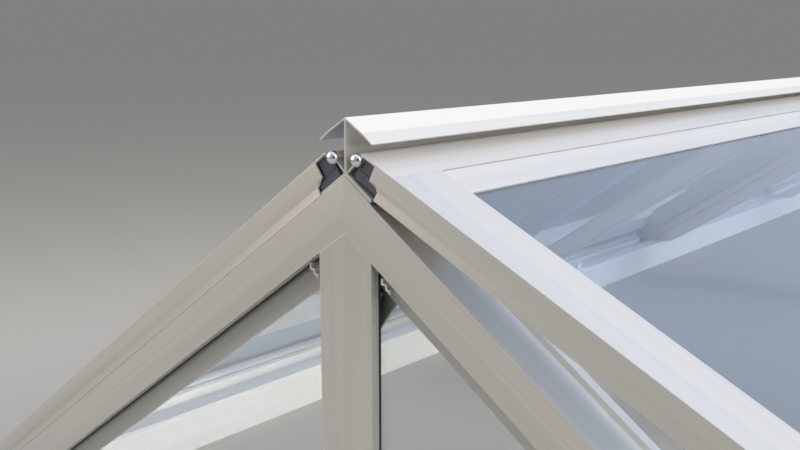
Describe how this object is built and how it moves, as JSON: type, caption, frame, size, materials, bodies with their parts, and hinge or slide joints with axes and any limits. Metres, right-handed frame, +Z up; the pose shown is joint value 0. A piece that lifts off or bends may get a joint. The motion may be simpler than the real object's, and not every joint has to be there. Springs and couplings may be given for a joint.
{
  "type": "greenhouse roof",
  "caption": "Glazed aluminium gable roof of a small greenhouse, ridge to eaves, with a capped ridge bar, glazed gable ends and full-slope hinged glass lids, one propped open",
  "frame": {"origin": "centre of the underside of the front gable tie, on the level the roof rests on", "axes": "+Z up, +Y along the ridge away from the front gable, +X to the right seen from the front"},
  "size_m": [1.5141, 4.007, 0.5781],
  "materials": {
    "frame": "satin",
    "glass": "clear",
    "gasket": "matte",
    "chrome": "polished",
    "steel": "galvanised"
  },
  "bodies": {
    "root": {"apex_gussets_back": "frame", "apex_gussets_front": "frame", "eave_bar_left": "frame", "eave_bar_right": "frame", "gable_gaskets_back": "gasket", "gable_gaskets_front": "gasket", "gable_glass_back_left": "glass", "gable_glass_back_right": "glass", "gable_glass_front_left": "glass", "gable_glass_front_right": "glass", "gable_rafter_back_left": "frame", "gable_rafter_back_right": "frame", "gable_rafter_front_left": "frame", "gable_rafter_front_right": "frame", "gable_tie_back": "frame", "gable_tie_front": "frame", "hinge_studs": "chrome", "king_post_back": "frame", "king_post_front": "frame", "lid_back_left_bottom_rail": "frame", "lid_back_left_glass": "glass", "lid_back_left_stiles": "frame", "lid_back_left_top_rail": "frame", "lid_back_right_bottom_rail": "frame", "lid_back_right_glass": "glass", "lid_back_right_stiles": "frame", "lid_back_right_top_rail": "frame", "lid_front_left_bottom_rail": "frame", "lid_front_left_glass": "glass", "lid_front_left_stiles": "frame", "lid_front_left_top_rail": "frame", "lid_front_right_bottom_rail": "frame", "lid_front_right_glass": "glass", "lid_front_right_stiles": "frame", "lid_front_right_top_rail": "frame", "lid_stays": "steel", "rafter_left_1": "frame", "rafter_left_2": "frame", "rafter_left_3": "frame", "rafter_right_1": "frame", "rafter_right_2": "frame", "rafter_right_3": "frame", "ridge_bar": "frame", "stay_brackets": "steel"}
  },
  "joints": []
}
